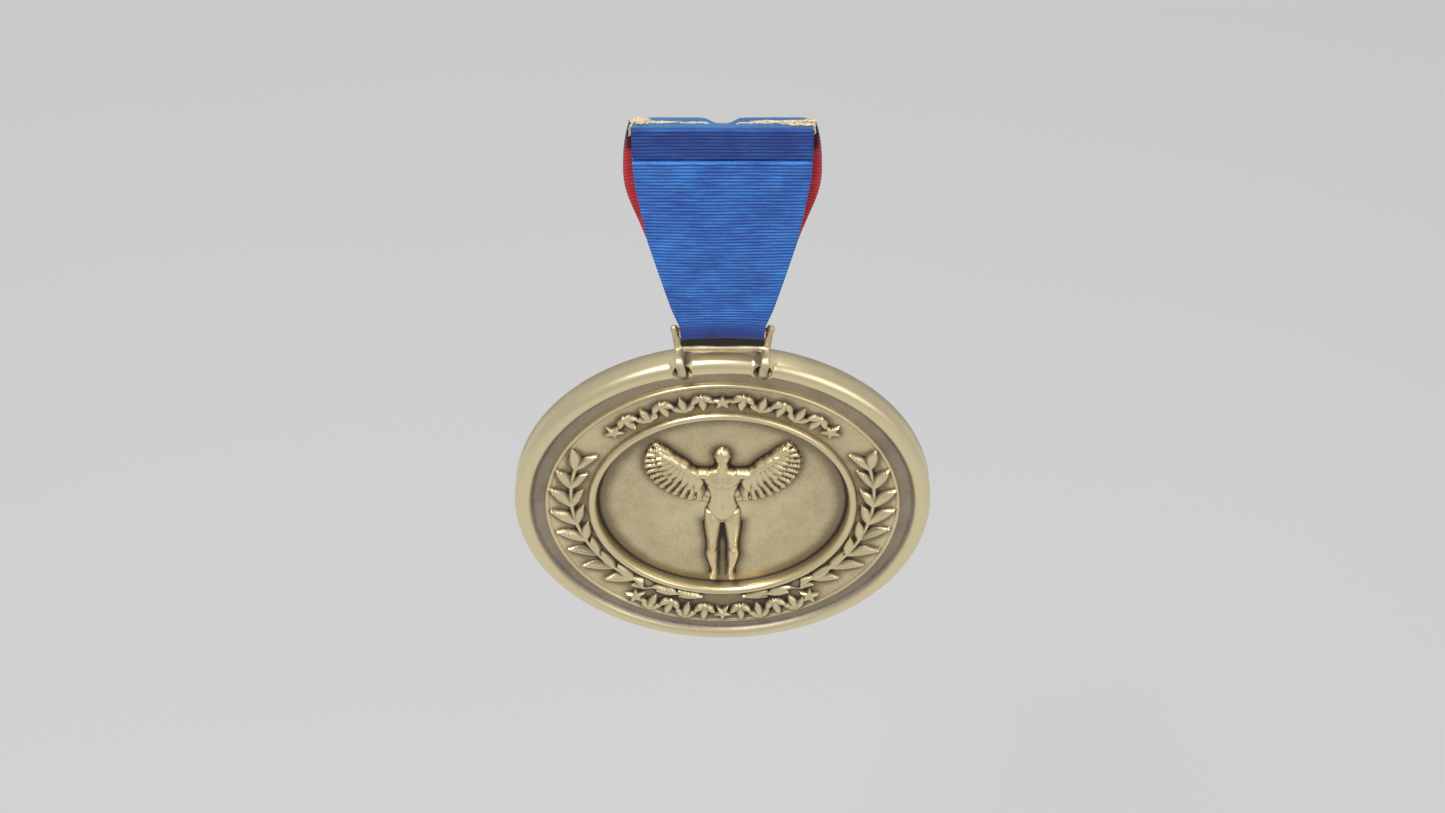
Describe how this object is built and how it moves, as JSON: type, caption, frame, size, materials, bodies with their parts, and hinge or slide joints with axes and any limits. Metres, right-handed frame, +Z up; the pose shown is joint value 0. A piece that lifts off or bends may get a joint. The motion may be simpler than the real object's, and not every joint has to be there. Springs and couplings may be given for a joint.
{
  "type": "sports finisher medal",
  "caption": "Round cast brass finisher medal with laurel sprays and a winged athlete, on a folded two-colour ribbon with a pin-back header.",
  "frame": {"origin": "on the garment pin's axis, midway along the header, at the pin's height", "axes": "+Z up along the ribbon, front of the medal faces -Y, +X to the right seen from the front"},
  "size_m": [0.076, 0.0096, 0.1252],
  "materials": {
    "rim_brass": "cast and tumbled, bright worn edges, satin",
    "antique_brass": "struck relief, dark patina in the recesses, polished on the high points",
    "pale_brass": "cast, satin, worn pale",
    "brooch_brass": "stamped sheet, satin",
    "pin_steel": "drawn wire, bright",
    "ribbon_blue": "grosgrain with cross ribs",
    "ribbon_red": "plain woven ribbon lining",
    "cream_buckram": "stiff open weave, frayed at its cut ends"
  },
  "bodies": {
    "header": {"header_bar": "brooch_brass", "header_buckram": "cream_buckram", "header_cuff": "ribbon_blue", "brooch_plate": "brooch_brass", "brooch_rivets": "brooch_brass", "pin_hinge": "brooch_brass", "hinge_rivet": "pin_steel", "catch_housing": "brooch_brass"},
    "pin": {"pin_stem": "pin_steel"},
    "catch": {"catch_roller": "brooch_brass"},
    "ribbon": {"ribbon_blue_face": "ribbon_blue", "ribbon_red_lining": "ribbon_red"},
    "hanger": {"hanger_frame": "pale_brass", "hanger_link_left": "pale_brass", "hanger_link_right": "pale_brass"},
    "medal": {"medal_frame": "rim_brass", "wreath_plate": "antique_brass", "bezel_ring": "antique_brass", "centre_disc": "antique_brass", "engraving_plate": "antique_brass", "laurel_left": "antique_brass", "laurel_right": "antique_brass", "upper_band": "antique_brass", "lower_band": "antique_brass", "winged_figure": "antique_brass"}
  },
  "joints": [
    {"name": "ribbon_swing", "type": "hinge", "parent": "header", "child": "ribbon", "pos_m": [0, -0.004, -0.0018], "axis": [1, 0, 0], "range_deg": [-45, 45]},
    {"name": "hanger_swing", "type": "hinge", "parent": "ribbon", "child": "hanger", "pos_m": [0, -0.004, -0.0394], "axis": [1, 0, 0], "range_deg": [-100, 100]},
    {"name": "medal_swing", "type": "hinge", "parent": "hanger", "child": "medal", "pos_m": [0, -0.004, -0.047], "axis": [1, 0, 0], "range_deg": [-7, 7]},
    {"name": "pin_open", "type": "hinge", "parent": "header", "child": "pin", "pos_m": [0.0102, 0, 0], "axis": [0, 0, -1], "range_deg": [0, 75]},
    {"name": "catch_turn", "type": "hinge", "parent": "header", "child": "catch", "pos_m": [-0.0094, 0, 0], "axis": [1, 0, 0], "range_deg": [0, 90]}
  ]
}
